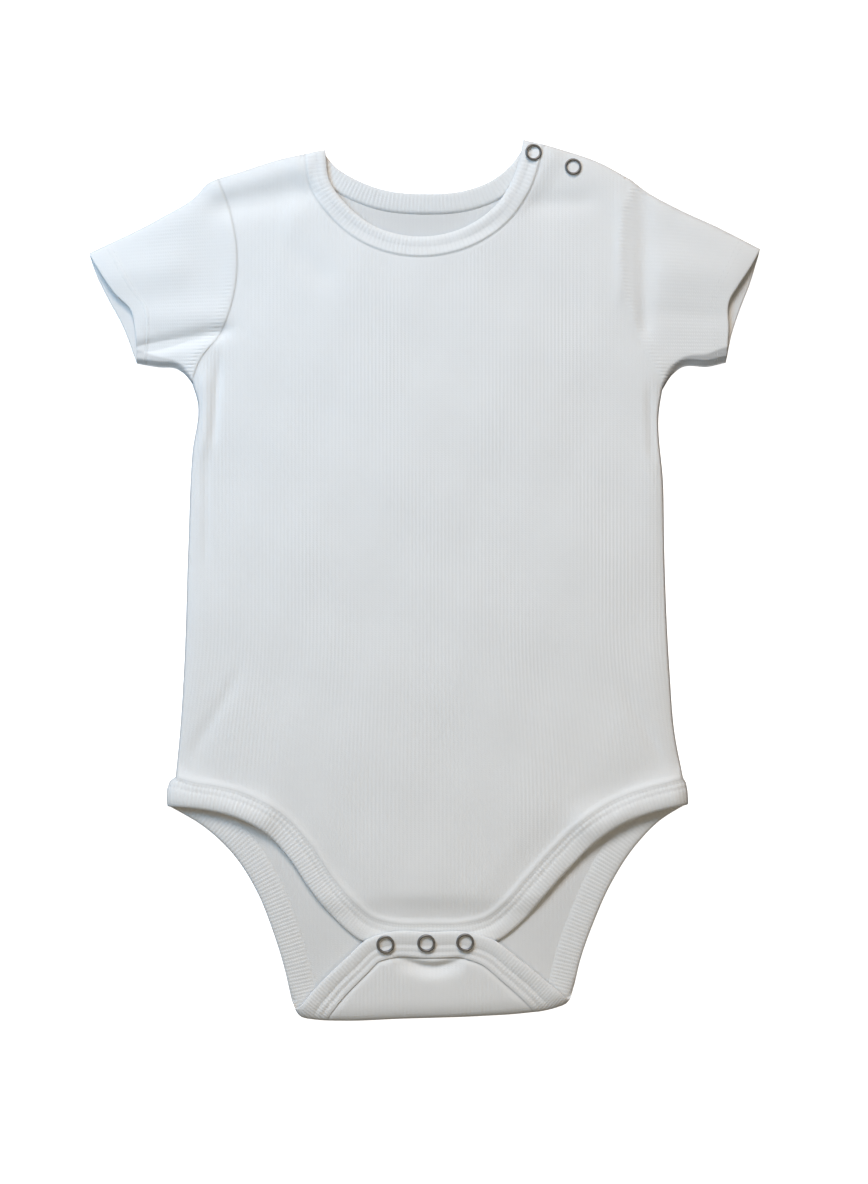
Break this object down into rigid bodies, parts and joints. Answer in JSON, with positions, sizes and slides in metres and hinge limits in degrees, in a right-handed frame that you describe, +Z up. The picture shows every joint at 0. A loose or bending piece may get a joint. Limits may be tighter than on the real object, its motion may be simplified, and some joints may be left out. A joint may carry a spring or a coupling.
{
  "type": "baby bodysuit",
  "caption": "Short-sleeved baby bodysuit laid flat, with a round bound neck, snapped shoulder, bound leg openings and a snapped crotch tail.",
  "frame": {"origin": "on the ground under the middle of the bodysuit's bounding box, where it lies on its back", "axes": "+Y towards the neck, +X towards the snapped shoulder, which is the right one in a top view, +Z up through the front"},
  "size_m": [0.322, 0.422, 0.0084],
  "materials": {
    "rib_knit": "soft matt cotton rib knit, white",
    "binding_knit": "soft matt cotton binding, white",
    "snap_steel": "dark grey nickel-free steel ring, satin"
  },
  "bodies": {
    "root": {"front_panel": "rib_knit", "back_panel": "rib_knit", "sleeve_left": "rib_knit", "sleeve_right": "rib_knit", "neck_binding_front": "binding_knit", "neck_binding_back": "binding_knit", "leg_binding_front": "binding_knit", "leg_binding_back": "binding_knit", "snap_shoulder_neck": "snap_steel", "snap_shoulder": "snap_steel", "snap_crotch_left": "snap_steel", "snap_crotch_middle": "snap_steel", "snap_crotch_right": "snap_steel"}
  },
  "joints": []
}
